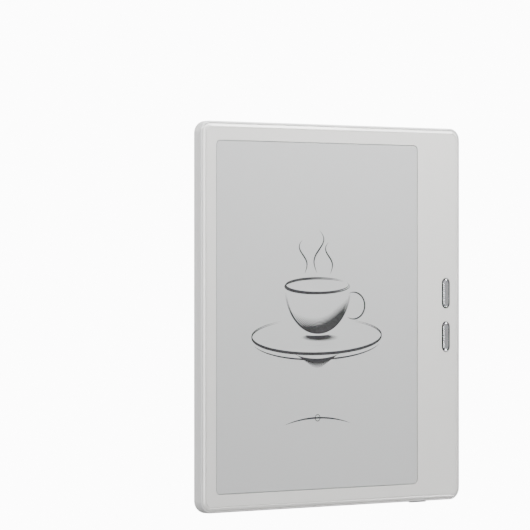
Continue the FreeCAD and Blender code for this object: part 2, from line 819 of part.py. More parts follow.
def make_power_button():
    bottom = -half_height - size.power_proud
    flange_bottom = -half_height + size.side_wall + 0.1
    cap = prism("power_cap", "top", (stadium, size.power_length, size.power_width),
                (size.power_across, size.power_depth, bottom),
                flange_bottom + size.power_flange_thickness - bottom)
    flange = block("power_flange",
                   (size.power_across - size.power_length / 2 - size.power_flange_reach,
                    size.power_across + size.power_length / 2 + size.power_flange_reach),
                   (size.power_depth - size.power_width / 2, size.power_depth + size.power_width / 2),
                   (flange_bottom, flange_bottom + size.power_flange_thickness))
    nub_bottom = flange_bottom + size.power_flange_thickness
    nub = cylinder("power_nub", "top", (size.power_across, size.power_depth, nub_bottom - 0.1),
                   size.power_nub_radius, size.power_nub_height + weld)
    keep(fuse("power_button", [cap, flange, nub]))
    plunger_bottom = nub_bottom + size.power_nub_height + size.switch_gap
    across, depth, up = flat_limits("power_switch")
    case = block("power_switch_case", across, depth, up)
    plunger = cylinder("power_switch_plunger", "top",
                       (size.power_across, size.power_depth, plunger_bottom),
                       size.power_nub_radius * 0.7, up[0] - plunger_bottom + weld)
    keep(fuse("power_switch", [case, plunger]))
    flex_back = board_front() + 0.08
    pad = block("power_flex_pad", (across[0] - 1, across[1] + 1),
                (flex_back, flex_back + size.flex_thickness), (up[0], up[1] + 1))
    tail = block("power_flex_tail", (across[0] + 1, across[1] - 1),
                 (flex_back, flex_back + size.flex_thickness), (up[0], size.board_bottom + 4))
    keep(fuse("power_flex", [pad, tail]))


# ---------------------------------------------------------------- ports, tray and speakers

def make_usb_port():
    right = half_width - 0.3
    left = right - size.port_reach
    outer = prism("port_shell_outside", "side", (stadium, size.port_height, size.port_length),
                  (left, size.port_depth, size.port_up), size.port_reach)
    inner = prism("port_shell_inside", "side",
                  (stadium, size.port_height - 2 * size.port_shell,
                   size.port_length - 2 * size.port_shell),
                  (left + 1, size.port_depth, size.port_up), size.port_reach)
    half = size.port_length / 2
    legs = [block(f"port_leg_{index}", (left + 2 + 2.5 * index, left + 3.2 + 2.5 * index),
                  (board_front(), board_front() + 0.25),
                  (size.port_up - half - 1.2, size.port_up + half + 1.2)) for index in range(2)]
    shell = fuse("port_shell_blank", [outer] + legs)
    keep(cut("usb_c_port", shell, [inner]))
    half_tongue = size.tongue_length / 2
    keep(block("usb_c_tongue", (left + 1, left + 1 + size.tongue_reach),
               (size.port_depth - size.tongue_height / 2, size.port_depth + size.tongue_height / 2),
               (size.port_up - half_tongue, size.port_up + half_tongue)))


def slide_limits():
    """The tray's flat slide: its limits in depth and up the reader."""
    return ((size.tray_slide_back, size.tray_slide_back + size.tray_slide_thickness),
            (size.tray_slide_bottom, size.tray_slide_bottom + size.tray_slide_length))


def make_card_tray():
    """A stadium face that closes the wall, on a flat slide with a pocket for one card."""
    depth, up = slide_limits()
    face_left = half_width - size.tray_face
    face = common("tray_face", outer_form,
                  prism("tray_face_blank", "side", (stadium, size.tray_width, size.tray_length),
                        (face_left, size.tray_depth, size.tray_up), size.tray_face + 1))
    slide = block("tray_slide", (half_width - size.tray_reach, face_left + weld), depth, up)
    card_right = face_left - 0.15
    pocket = block("tray_pocket", (card_right - size.card_length + 1.2, card_right),
                   (depth[1] - size.card_thickness, depth[1] + 1),
                   (up[0] + 1, up[0] + 1 + size.card_width))
    window = block("tray_window", (card_right - size.card_length + 2.6, card_right - 6),
                   (depth[0] - 1, depth[1] + 1), (up[0] + 2.2, up[0] + size.card_width - 0.2))
    pin = cylinder("tray_pin_hole", "side", (face_left - 1, size.tray_depth, size.pin_hole_up),
                   size.pin_hole / 2, 4)
    keep(cut("card_tray", fuse("tray_blank", [face, slide]), [pocket, window, pin]))


def make_card_socket():
    """A thin metal cage on the board that guides the tray, with sprung contacts on its floor."""
    depth, up = slide_limits()
    play, wall = size.socket_play, size.socket_wall
    left, right = half_width - size.tray_reach - 0.7, half_width - size.tray_face - 0.6
    inner_depth = (depth[0] - play, depth[1] + play)
    inner_up = (up[0] - play, up[1] + play)
    cage = block("socket_outside", (left, right), (board_front(), inner_depth[1] + wall),
                 (inner_up[0] - wall, inner_up[1] + wall))
    hollow = block("socket_inside", (left - 1, right + 1), inner_depth, inner_up)
    window = block("socket_window", (left + 3, right - 3), (inner_depth[1] - weld, inner_depth[1] + 1),
                   (inner_up[0] + 2, inner_up[1] - 2))
    keep(cut("card_socket", cage, [hollow, window]))


def make_eject_parts():
    """A pin pressed through the tray's face pushes the rod, which swings the lever."""
    back = size.rod_back
    front = back + size.rod_thickness
    up = size.pin_hole_up
    shaft = block("rod_shaft", (size.rod_left, size.rod_right), (back, front),
                  (up - size.rod_width / 2, up + size.rod_width / 2))
    head = block("rod_head_plate", (size.rod_right - 0.8, size.rod_right),
                 (back, back + size.rod_head),
                 (up - size.rod_width / 2, up + size.rod_width / 2))
    keep(fuse("eject_rod", [shaft, head]))
    centre = size.lever_pivot_up + (size.lever_upper_arm - size.lever_lower_arm) / 2
    bar = prism("lever_bar", "front",
                (stadium, size.lever_width, size.lever_upper_arm + size.lever_lower_arm),
                (size.lever_across, back, centre), size.rod_thickness)
    pivot_centre = (size.lever_across, board_front(), size.lever_pivot_up)
    hole = cylinder("lever_hole", "front", pivot_centre, size.pivot_radius + size.pivot_play, 2)
    keep(cut("eject_lever", bar, [hole]))
    keep(cylinder("lever_pivot", "front", pivot_centre, size.pivot_radius,
                  front - board_front() + 0.05))


def make_speakers():
    for side, up in (("upper", size.upper_sound_up), ("lower", size.lower_sound_up)):
        label = f"{side}_speaker"
        across, depth, height = flat_limits(label)
        case = prism(f"{label}_case", "side",
                     (rounded_rectangle, depth[1] - depth[0], height[1] - height[0], 0.6),
                     (across[0], (depth[0] + depth[1]) / 2, up), across[1] - across[0])
        mouth = prism(f"{label}_mouth", "side",
                      (stadium, depth[1] - depth[0] - 1.4, height[1] - height[0] - 1.2),
                      (across[1] - size.speaker_recess, (depth[0] + depth[1]) / 2, up),
                      size.speaker_recess + 1)
        keep(cut(label, case, [mouth]))
        gasket = block(f"{label}_gasket_strip", (across[1] + 0.02, across[1] + size.mesh_thickness + 0.15),
                       (size.sound_depth - 0.8, size.sound_depth + 0.8),
                       (up - 7.8, up + 7.8))
        gasket.Label = f"{label}_mesh"
        keep(gasket)


# ---------------------------------------------------------------- electronics and battery

def board_front():
    return size.board_back + size.board_thickness


def make_main_board():
    """The board fills the top of the grip and reaches in behind the screen."""
    socket_bottom, socket_top = size.tray_up - 9.0, size.tray_up + 10.0
    port_bottom = size.port_up - 6.3
    points = ((size.board_left, size.board_bottom), (size.board_neck, size.board_bottom),
              (size.board_neck, socket_bottom), (size.board_right, socket_bottom),
              (size.board_right, socket_top), (size.board_neck, socket_top),
              (size.board_neck, port_bottom), (size.board_right - 0.5, port_bottom),
              (size.board_right - 0.5, size.board_top), (size.board_left, size.board_top))
    blank = prism("main_board_blank", "front", (polygon, points), (0, size.board_back, 0),
                  size.board_thickness)
    half = size.port_length / 2 + 0.15
    notch = block("port_notch", (half_width - size.port_reach - 0.6, half_width),
                  (size.board_back - 1, board_front() + 1), (size.port_up - half, size.port_up + half))
    holes = [cylinder(f"board_hole_{index}", "front", (across, size.board_back - 1, up),
                      size.screw_hole_radius, size.board_thickness + 2)
             for index, (across, up) in enumerate(BOARD_SCREWS)]
    keep(cut("main_board", blank, [notch] + holes))


def make_shield(label):
    """A can of thin tin plate, open towards the board."""
    across, depth, up = flat_limits(label)
    wall = size.can_wall
    outside = block(f"{label}_outside", across, depth, up)
    inside = block(f"{label}_inside", (across[0] + wall, across[1] - wall),
                   (depth[0] - 1, depth[1] - wall), (up[0] + wall, up[1] - wall))
    keep(cut(label, outside, [inside]))


def screw(label, across, up, head_back, shank_length):
    head = cylinder(f"{label}_head", "front", (across, head_back, up), size.screw_head_radius,
                    size.screw_head_height)
    shank = cylinder(f"{label}_shank", "front", (across, head_back + size.screw_head_height - 0.05, up),
                     size.screw_radius, shank_length + 0.05)
    turned = 0.32
    reach = size.screw_head_radius * 0.62
    slots = [block(f"{label}_slot_{index}", (across - a, across + a), (head_back - 1, head_back + 0.2),
                   (up - b, up + b)) for index, (a, b) in enumerate(((reach, as_size(turned / 2)),
                                                                    (as_size(turned / 2), reach)))]
    return cut(label, fuse(f"{label}_blank", [head, shank]), slots)


def make_screws():
    boards = [screw(f"board_screw_{index}", across, up, size.board_back - size.screw_head_height, 1.5)
              for index, (across, up) in enumerate(BOARD_SCREWS)]
    keep(group("board_screws", boards))
    frames = [screw(f"frame_screw_{index}", across, up, frame_back() - size.screw_head_height, 1.8)
              for index, (across, up) in enumerate(FRAME_SCREWS)]
    keep(group("frame_screws", frames))


def make_battery():
    across, depth, up = flat_limits("battery_pack")
    outline = (rounded_rectangle, across[1] - across[0], up[1] - up[0], 3.0)
    keep(prism("battery_pack", "front", outline,
               (size.battery_pack_across, depth[0], size.battery_pack_up), depth[1] - depth[0]))
    keep(block("battery_board", *flat_limits("battery_board")))
    width, height, back, thickness = BATTERY_TAPE_SIZE
    tapes = [block(f"battery_tape_{index}", (across - width / 2, across + width / 2),
                   (back, back + thickness), (-height / 2, height / 2))
             for index, across in enumerate(BATTERY_TAPES)]
    keep(group("battery_tapes", tapes))
    board_edge = size.battery_board_across + size.battery_board_width / 2
    socket_edge = size.battery_socket_across - size.battery_socket_width / 2
    wire_depth = board_front() + BATTERY_WIRE_RADIUS + 0.02
    wires = [cylinder(f"battery_wire_{index}", "side", (board_edge, wire_depth, up),
                      BATTERY_WIRE_RADIUS, socket_edge - board_edge)
             for index, up in enumerate(BATTERY_WIRES)]
    keep(group("battery_wires", wires))
    keep(block("battery_socket", *flat_limits("battery_socket")))


def make_flexes():
    """Two ribbon leads that fold from the screen layers round to the board."""
    _, right, _, top = module_limits()
    thin = size.flex_thickness
    rear = size.display_connector_back + size.display_connector_thickness
    connector_left = size.display_connector_across - size.display_connector_width / 2
    span = (42, 62)
    keep(fuse("display_flex", [
        block("display_flex_front", (right - 0.9, right + 0.8), (film_back(), film_back() + thin), span),
        block("display_flex_fold", (right + 0.8 - thin, right + 0.8), (rear, film_back() + thin), span),
        block("display_flex_rear", (connector_left, right + 0.8), (rear, rear + thin), span)]))
    span = (20, 32)
    connector_bottom = size.touch_connector_up - size.touch_connector_height / 2
    keep(fuse("touch_flex", [
        block("touch_flex_front", span, (gasket_back(), gasket_back() + thin), (top - 0.35, top + 0.7)),
        block("touch_flex_fold", span, (rear, gasket_back() + thin), (top + 0.7 - thin, top + 0.7)),
        block("touch_flex_rear", span, (rear, rear + thin), (connector_bottom, top + 0.7))]))


def make_electronics():
    make_main_board()
    for label in ("processor_shield", "power_shield"):
        make_shield(label)
    for label in ("processor_chip", "memory_chip", "power_chip", "storage_chip", "wireless_module",
                  "display_connector", "touch_connector", "audio_chip", "hall_sensor",
                  "wireless_antenna"):
        keep(block(label, *flat_limits(label)))
    width, height, back, thickness = MAGNET_SIZE
    magnets = [block(f"magnet_{index}", (across - width / 2, across + width / 2),
                     (back, back + thickness), (up - height / 2, up + height / 2))
               for index, (across, up) in enumerate(MAGNETS)]
    keep(group("cover_magnets", magnets))


# ---------------------------------------------------------------- build, check and write

make_rear_cover()
make_rear_panels()
make_front_bezel()
make_screen()
make_midframe()
make_page_keys()
make_power_button()
make_usb_port()
make_card_tray()
make_card_socket()
make_eject_parts()
make_speakers()
make_electronics()
make_battery()
make_flexes()
make_screws()
doc.recompute()

for thing in doc.Objects:
    if "Invalid" in thing.State or "Error" in thing.State:
        raise RuntimeError(f"{thing.Label} did not build: {thing.State}")
for node in NODES:
    if node.Shape.isNull() or not node.Shape.isValid():
        raise RuntimeError(f"{node.Label} has no valid shape")

os.makedirs("parts", exist_ok=True)
for node in NODES:
    node.Shape.exportStep(f"parts/{node.Label}.step")
    box = node.Shape.BoundBox
    print(f"{node.Label}: {len(node.Shape.Solids)} solid(s), {node.Shape.Volume:.2f} mm3, "
          f"{box.XLength:.2f} x {box.YLength:.2f} x {box.ZLength:.2f}")
print(f"{len(NODES)} nodes")
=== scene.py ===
# %% [markdown]
# # A slim e-reader with page keys
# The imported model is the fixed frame. Every piece below is drawn around it, in metres.
# The reader stands upright: X runs across it towards the grip, Z runs up it, and the
# screen looks along -Y. The rear face lies at Y = 0, so depth behind it is negative Y.

# %% Load the frame
import json
import math

import bmesh
import bpy
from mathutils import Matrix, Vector


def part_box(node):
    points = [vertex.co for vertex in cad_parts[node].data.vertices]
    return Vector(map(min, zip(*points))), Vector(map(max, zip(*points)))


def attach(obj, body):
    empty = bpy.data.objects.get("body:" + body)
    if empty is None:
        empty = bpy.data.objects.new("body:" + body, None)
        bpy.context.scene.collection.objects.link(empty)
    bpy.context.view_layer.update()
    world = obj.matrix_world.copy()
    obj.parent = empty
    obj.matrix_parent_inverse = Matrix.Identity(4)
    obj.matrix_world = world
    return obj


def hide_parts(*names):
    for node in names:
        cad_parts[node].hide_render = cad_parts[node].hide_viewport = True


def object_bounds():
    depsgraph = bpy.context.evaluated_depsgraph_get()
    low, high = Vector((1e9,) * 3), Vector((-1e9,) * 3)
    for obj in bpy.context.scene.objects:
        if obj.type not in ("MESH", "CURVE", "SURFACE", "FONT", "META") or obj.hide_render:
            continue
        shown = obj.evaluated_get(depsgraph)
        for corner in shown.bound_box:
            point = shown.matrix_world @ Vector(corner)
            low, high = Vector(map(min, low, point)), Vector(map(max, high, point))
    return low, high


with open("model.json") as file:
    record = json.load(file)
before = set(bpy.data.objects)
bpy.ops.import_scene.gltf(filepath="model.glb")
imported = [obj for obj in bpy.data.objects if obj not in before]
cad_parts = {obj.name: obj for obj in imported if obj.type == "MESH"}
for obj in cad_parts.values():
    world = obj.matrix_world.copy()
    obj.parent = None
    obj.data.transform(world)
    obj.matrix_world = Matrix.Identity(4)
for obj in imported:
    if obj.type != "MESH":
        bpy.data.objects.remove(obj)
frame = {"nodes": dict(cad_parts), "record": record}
cad_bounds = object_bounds()
bpy.ops.object.select_all(action="DESELECT")
MM = 0.001
nodes = frame["nodes"]
print("CAD box in mm:", [[round(value / MM, 2) for value in corner] for corner in cad_bounds])

# %% [markdown]
# ## Camera
# The camera stands far away and has a long lens, which keeps the reader's edges nearly
# parallel. It is level, a little above the middle of the reader, and looks at it from
# its left.

# %% Camera
CAMERA_PLACE = (-848.9 * MM, -1037.5 * MM, 21.2 * MM)
CAMERA_TURN = math.radians(-38.24)
camera_data = bpy.data.cameras.new("studio_camera")
camera_data.lens = 222.0
camera_data.sensor_width = 36.0
camera_data.shift_y = -0.0025
camera_data.clip_start = 0.05
camera_data.clip_end = 60.0
camera = bpy.data.objects.new("studio_camera", camera_data)
camera.location = CAMERA_PLACE
camera.rotation_euler = (math.pi / 2, 0.0, CAMERA_TURN)
bpy.context.scene.collection.objects.link(camera)
bpy.context.scene.camera = camera
print("camera", tuple(round(value, 3) for value in camera.location))

# %% [markdown]
# ## Nodes and colours
# One function turns the colours that people write, such as #E4E4E2, into the linear
# values that a renderer needs. Another adds a node, sets it and links it.

# %% Colour and node helpers


def linear(hex_colour):
    """The linear colour of an sRGB hex colour."""
    channels = [int(hex_colour[index:index + 2], 16) / 255 for index in (1, 3, 5)]
    return tuple(c / 12.92 if c <= 0.04045 else ((c + 0.055) / 1.055) ** 2.4
                 for c in channels) + (1.0,)


def add_node(tree, kind, settings=None, links=None):
    """Add one node, give it its settings, and link its inputs from other nodes' outputs."""
    node = tree.nodes.new(kind)
    for name, value in (settings or {}).items():
        if isinstance(name, int) or name in node.inputs:
            node.inputs[name].default_value = value
        else:
            setattr(node, name, value)
    for name, source in (links or {}).items():
        tree.links.new(source, node.inputs[name])
    return node


def new_finish(name):
    """An empty node material with a shader; returns the material, its tree and its shader."""
    material = bpy.data.materials.new(name)
    material.use_nodes = True
    tree = material.node_tree
    return material, tree, tree.nodes["Principled BSDF"]


def per_metre(size_mm):
    """Texture scale for a pattern whose grain is this many millimetres across."""
    return 1.0 / (size_mm * MM)

# %% [markdown]
# ## A surface with fine grain
# Most pieces are moulded, cast, plated or printed, and all of those leave a fine
# unevenness: a little bump, and a colour and gloss that drift by a few percent. One
# recipe gives it, with the grain's real size and depth in millimetres.

# %% Grained finish


def grained_finish(name, colour, roughness, metallic=0.0, ior=1.5, grain=0.25, depth=0.004,
                   drift=0.03, drift_size=9.0, coat=0.0):
    """A plain surface with fine bumps; grain, depth and drift_size are in millimetres."""
    material, tree, shader = new_finish(name)
    place = add_node(tree, "ShaderNodeTexCoord").outputs["Object"]
    fine = add_node(tree, "ShaderNodeTexNoise", {"Scale": per_metre(grain), "Detail": 3.0},
                    {"Vector": place})
    broad = add_node(tree, "ShaderNodeTexNoise", {"Scale": per_metre(drift_size), "Detail": 2.0},
                     {"Vector": place})
    light = linear(colour)
    dark = tuple(channel * (1.0 - drift) for channel in light[:3]) + (1.0,)
    tone = add_node(tree, "ShaderNodeMix", {"data_type": "RGBA", 6: light, 7: dark},
                    {0: broad.outputs["Fac"]})
    gloss = add_node(tree, "ShaderNodeMapRange",
                     {"To Min": max(roughness - 0.05, 0.02), "To Max": roughness + 0.05},
                     {"Value": fine.outputs["Fac"]})
    bump = add_node(tree, "ShaderNodeBump", {"Strength": 1.0, "Distance": depth * MM},
                    {"Height": fine.outputs["Fac"]})
    shader.inputs["Metallic"].default_value = metallic
    shader.inputs["IOR"].default_value = ior
    shader.inputs["Coat Weight"].default_value = coat
    tree.links.new(tone.outputs[2], shader.inputs["Base Color"])
    tree.links.new(gloss.outputs["Result"], shader.inputs["Roughness"])
    tree.links.new(bump.outputs["Normal"], shader.inputs["Normal"])
    return material

# %% [markdown]
# ## Leather grain
# The two panels on the back are moulded against a tool etched like fine leather. Leather
# is made of small swollen cells with creases between them, so two sizes of cells are
# laid over each other: the distance to a cell's edge makes the crease, and a noise makes
# the swelling uneven. The creases are also painted a darker grey, as painted shade.

# %% Leather-grained finish
CREASE_SHARE = 0.22
FINE_GRAIN_SIZE = 0.35
FINE_GRAIN_HEIGHT = 0.35
WANDER_SIZE = 2.5
POLYCARBONATE_IOR = 1.585
LEATHER_ROUGHNESS = 0.48


def leather_finish(name, colour, painted_crease_shade, cell, depth):
    """Swollen cells with creases between them, the creases painted darker as shade; cell and depth
    are in millimetres.
    """
    material, tree, shader = new_finish(name)
    place = add_node(tree, "ShaderNodeTexCoord").outputs["Object"]
    wander = add_node(tree, "ShaderNodeTexNoise", {"Scale": per_metre(WANDER_SIZE * cell)},
                      {"Vector": place})
    bent = add_node(tree, "ShaderNodeVectorMath", {"operation": "MULTIPLY_ADD", 1: (cell * MM,) * 3},
                    {0: wander.outputs["Color"], 2: place})
    cells = add_node(tree, "ShaderNodeTexVoronoi",
                     {"feature": "DISTANCE_TO_EDGE", "Scale": per_metre(cell)},
                     {"Vector": bent.outputs[0]})
    swelling = add_node(tree, "ShaderNodeMapRange",
                        {"From Max": CREASE_SHARE, "To Max": 1.0,
                         "interpolation_type": "SMOOTHSTEP"},
                        {"Value": cells.outputs["Distance"]})
    fine = add_node(tree, "ShaderNodeTexNoise",
                    {"Scale": per_metre(FINE_GRAIN_SIZE * cell), "Detail": 4.0},
                    {"Vector": place})
    height = add_node(tree, "ShaderNodeMath",
                      {"operation": "MULTIPLY_ADD", 1: FINE_GRAIN_HEIGHT},
                      {0: fine.outputs["Fac"], 2: swelling.outputs["Result"]})
    # painted shade: the creases get a darker grey, though the moulded plastic is one colour
    # throughout
    tone = add_node(tree, "ShaderNodeMix",
                    {"data_type": "RGBA", 6: linear(painted_crease_shade), 7: linear(colour)},
                    {0: swelling.outputs["Result"]})
    bump = add_node(tree, "ShaderNodeBump", {"Distance": depth * MM},
                    {"Height": height.outputs[0]})
    shader.inputs["IOR"].default_value = POLYCARBONATE_IOR
    shader.inputs["Roughness"].default_value = LEATHER_ROUGHNESS
    tree.links.new(tone.outputs[2], shader.inputs["Base Color"])
    tree.links.new(bump.outputs["Normal"], shader.inputs["Normal"])
    return material

# %% [markdown]
# ## Pencil drawing
# While the reader rests, its ink film shows a soft grey drawing. The dots of electronic
# ink are tiny capsules that are black or white, so a grey line breaks up into speckles.

# %% Speckled ink finish


def ink_finish(name, dark_colour, light_colour, speckle):
    """Ink broken into speckles of two greys; speckle is in millimetres."""
    material, tree, shader = new_finish(name)
    place = add_node(tree, "ShaderNodeTexCoord").outputs["Object"]
    dots = add_node(tree, "ShaderNodeTexNoise", {"Scale": per_metre(speckle), "Detail": 2.0},
                    {"Vector": place})
    spread = add_node(tree, "ShaderNodeMapRange", {"From Min": 0.38, "From Max": 0.66},
                      {"Value": dots.outputs["Fac"]})
    tone = add_node(tree, "ShaderNodeMix",
                    {"data_type": "RGBA", 6: linear(dark_colour), 7: linear(light_colour)},
                    {0: spread.outputs["Result"]})
    shader.inputs["Roughness"].default_value = 0.6
    tree.links.new(tone.outputs[2], shader.inputs["Base Color"])
    return material

# %% [markdown]
# ## Finishes of the pieces
# Each of the record's material slots gets the finish of the real material: what it is
# made of, how its surface was made, and so how rough and how bright it looks.

# %% Finishes by slot
finishes = {
    # moulded polycarbonate from a spark-eroded tool: matt, with a faint even grain
    "cover_plastic": grained_finish("satin_moulded_polycarbonate", "#E6E6E5", 0.4,
                                    ior=POLYCARBONATE_IOR),
    # a lacquered front, smoother than the cover and slightly warm
    "bezel_plastic": grained_finish("satin_lacquered_bezel", "#E2E1DE", 0.38, depth=0.002),
    # fine leather grain, which breaks the light into a soft mottle, with painted shade in its
    # creases
    "leather_grain_plastic": leather_finish("leather_grained_polycarbonate", "#EEEEED", "#C9C9C7",
                                            cell=1.1, depth=0.22),
    # acid-etched sheet over pale grey ink: matt like paper, with hardly any glare
    "screen_sheet": grained_finish("etched_screen_sheet", "#C1C2C2", 0.46, depth=0.0015,
                                   drift=0.015),
    # blasted and then chromed: a metal that mirrors its surroundings softly
    "chromed_key": grained_finish("satin_chromed_metal", "#C9CACD", 0.17, metallic=1.0,
                                  depth=0.00015),
    # aluminium with a dark dyed oxide layer: a metal sheen with little brightness
    "dark_anodised": grained_finish("dark_anodised_aluminium", "#1C1C1E", 0.34, metallic=1.0),
    # drawn steel sheet: bright, with a slightly blurred mirror
    "port_steel": grained_finish("drawn_stainless_steel", "#B6B7BA", 0.25, metallic=1.0),
    # moulded liquid-crystal plastic: black and dull
    "black_moulding": grained_finish("black_moulded_plastic", "#161618", 0.45),
    # glass fibre board under green solder mask, which shines like varnish
    "circuit_laminate": grained_finish("solder_masked_laminate", "#15452F", 0.4, coat=0.3),
    # transfer-moulded epoxy: near black and matt
    "chip_resin": grained_finish("moulded_chip_resin", "#17181A", 0.55),
    # stamped tinned sheet: pale metal with a soft mirror
    "shield_tin": grained_finish("tinned_sheet", "#C3C5C6", 0.3, metallic=1.0),
    # cast and blasted magnesium: dull grey metal
    "frame_magnesium": grained_finish("shot_blasted_magnesium", "#A2A4A6", 0.5, metallic=1.0),
    # laminated foil pouch: silvery, half metal and half plastic film
    "battery_foil": grained_finish("laminated_foil_pouch", "#B4B6B8", 0.35, metallic=0.6,
                                   grain=1.2, depth=0.02),
    # polyimide film over copper: amber and glossy
    "flex_polyimide": grained_finish("polyimide_film", "#B06A20", 0.3),
    # thin display glass seen from its edge: grey-green and glossy
    "display_glass": grained_finish("thin_display_glass", "#8C9896", 0.1),
    # polished acrylic: clear, so it shows the pale light inside it
    "light_guide_acrylic": grained_finish("polished_acrylic_sheet", "#DDE4E6", 0.08, ior=1.49),
    # capsules of electronic ink on film: paper-like
    "ink_layer": grained_finish("electronic_ink_laminate", "#C4C4C2", 0.6),
    # closed-cell foam tape: black and quite dull
    "adhesive_foam": grained_finish("black_adhesive_foam", "#1D1D1F", 0.8, grain=0.1, depth=0.02),
    # zinc plate on steel: grey metal with a soft mirror
    "screw_steel": grained_finish("zinc_plated_steel", "#9A9B9F", 0.3, metallic=1.0),
    # nickel plate: warm silver and bright
    "magnet_nickel": grained_finish("nickel_plate", "#BDBCB6", 0.15, metallic=1.0),
    # woven polyester mesh: black and dull, with a fine weave
    "sound_mesh": grained_finish("woven_acoustic_mesh", "#1E1E20", 0.8, grain=0.12, depth=0.04),
    # extruded wire insulation: red and slightly glossy
    "lead_insulation": grained_finish("extruded_red_insulation", "#9A1C1C", 0.4),
    # phosphor-filled resin: pale yellow
    "lamp_resin": grained_finish("pale_phosphor_resin", "#E8DC9C", 0.3),
}
# the same lacquer over a smoothed edge: it shines where the flat face stays matt, and its colour is
# painted lighter than the face's as a highlight
lacquer_edge_painted_highlight = grained_finish("glossy_lacquer_edge_painted_highlight", "#EAE9E6", 0.16, depth=0.0003, coat=1.0)
# a drawing's line on the ink film: dark speckles, so a thin line looks soft
pencil_ink = ink_finish("speckled_grey_electronic_ink", "#060607", "#303033", speckle=0.34)


def dress(piece, slot):
    """Give a piece the finish of one of the record's slots."""
    piece.data.materials.clear()
    piece.data.materials.append(finishes[slot])


for entry in frame["record"]["subparts"]:
    dress(nodes[entry["node"]], entry["material_slot"])
print("finishes:", len(finishes))

# %% [markdown]
# ## Modelling helpers
# Every new piece starts as a block or a cylinder at its real place, in millimetres. The
# helpers then do what a hand would do in edit mode: pick edges or faces by their place,
# bevel them, inset a cap and push it in or out, and carve openings with a cutter.

# %% Helpers: start a piece
ACROSS, DEEP, UP = 0, 1, 2
NEAR = 0.002
PIN_SIDES = 24


def box_mm(node):
    """Lowest and highest corner of a CAD node, in millimetres."""
    return [[value / MM for value in corner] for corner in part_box(node)]


def apply_place(piece):
    """Bake an object's place, turn and scale into its mesh."""
    bpy.ops.object.select_all(action="DESELECT")
    bpy.context.view_layer.objects.active = piece
    piece.select_set(True)
    bpy.ops.object.transform_apply(location=True, rotation=True, scale=True)


def add_block(name, low, high):
    """A block between two corners given in millimetres."""
    bpy.ops.object.select_all(action="DESELECT")
    centre = [(a + b) / 2 * MM for a, b in zip(low, high)]
    bpy.ops.mesh.primitive_cube_add(size=1.0, location=centre)
    piece = bpy.context.object
    piece.name = name
    piece.scale = [(b - a) * MM for a, b in zip(low, high)]
    apply_place(piece)
    return piece


def add_pin(name, centre, radius, length, turn):
    """A round pin through a point given in millimetres, for carving a hole."""
    bpy.ops.object.select_all(action="DESELECT")
    bpy.ops.mesh.primitive_cylinder_add(vertices=PIN_SIDES, radius=radius * MM,
                                        depth=length * MM, rotation=turn,
                                        location=[value * MM for value in centre])
    piece = bpy.context.object
    piece.name = name
    apply_place(piece)
    return piece

# %% [markdown]
# The next helpers change a piece that is already there. Each test names edges or faces by
# where they lie, so the same helper serves every piece.

# %% Helpers: shape a piece


def edit(piece, kind, test):
    """Go into edit mode and select just the faces or edges that pass a test."""
    bpy.ops.object.select_all(action="DESELECT")
    bpy.context.view_layer.objects.active = piece
    piece.select_set(True)
    bpy.ops.object.mode_set(mode="EDIT")
    bpy.ops.mesh.select_mode(type=kind)
    bpy.ops.mesh.select_all(action="DESELECT")
    mesh = bmesh.from_edit_mesh(piece.data)
    for element in (mesh.faces if kind == "FACE" else mesh.edges):
        element.select_set(test(element))
    bmesh.update_edit_mesh(piece.data)


def leave_edit():
    """Go back to object mode."""
    bpy.ops.object.mode_set(mode="OBJECT")


def paint_faces(piece, material, test):
    """Give the faces that pass a test a second material."""
    piece.data.materials.append(material)
    edit(piece, "FACE", test)
    bpy.context.object.active_material_index = len(piece.data.materials) - 1
    bpy.ops.object.material_slot_assign()
    leave_edit()


def runs_along(edge, axis):
    """True if an edge is parallel to an axis."""
    first, second = (corner.co for corner in edge.verts)
    return all(abs(first[i] - second[i]) < NEAR * MM for i in range(3) if i != axis)


def lies_at(element, axis, place):
    """True if all corners of an edge or face have this coordinate, in millimetres."""
    return all(abs(corner.co[axis] - place * MM) < NEAR * MM for corner in element.verts)


def bevel_edges(piece, test, width, steps):
    """Round the edges that pass a test, and merge the corners that meet."""
    edit(piece, "EDGE", test)
    bpy.ops.mesh.bevel(offset=width * MM, segments=steps, affect="EDGES", clamp_overlap=True)
    bpy.ops.mesh.select_all(action="SELECT")
    bpy.ops.mesh.remove_doubles(threshold=3 * NEAR * MM)
    leave_edit()


def rounded_block(name, low, high, axis, corner, steps=10):
    """A block whose four edges along one axis are rounded."""
    piece = add_block(name, low, high)
    bevel_edges(piece, lambda edge: runs_along(edge, axis), corner, steps)
    return piece


def step_cap(piece, axis, place, steps):
    """Inset the flat cap at a place and move it along the axis, step by step, in millimetres."""
    edit(piece, "FACE", lambda face: lies_at(face, axis, place))
    for inset, move in steps:
        shift = [0.0, 0.0, 0.0]
        shift[axis] = move * MM
        if inset:
            bpy.ops.mesh.inset(thickness=inset * MM, depth=0.0, use_even_offset=True)
            bpy.ops.transform.translate(value=shift)
        else:
            bpy.ops.mesh.extrude_region_move(TRANSFORM_OT_translate={"value": shift})
    leave_edit()


def carve(piece, cutters):
    """Cut openings out of a piece with cutters, which are then thrown away."""
    for cutter in cutters:
        opening = piece.modifiers.new("opening", "BOOLEAN")
        opening.operation = "DIFFERENCE"
        opening.solver = "EXACT"
        opening.object = cutter
        bpy.ops.object.select_all(action="DESELECT")
        bpy.context.view_layer.objects.active = piece
        piece.select_set(True)
        bpy.ops.object.modifier_apply(modifier=opening.name)
        bpy.data.objects.remove(cutter, do_unlink=True)


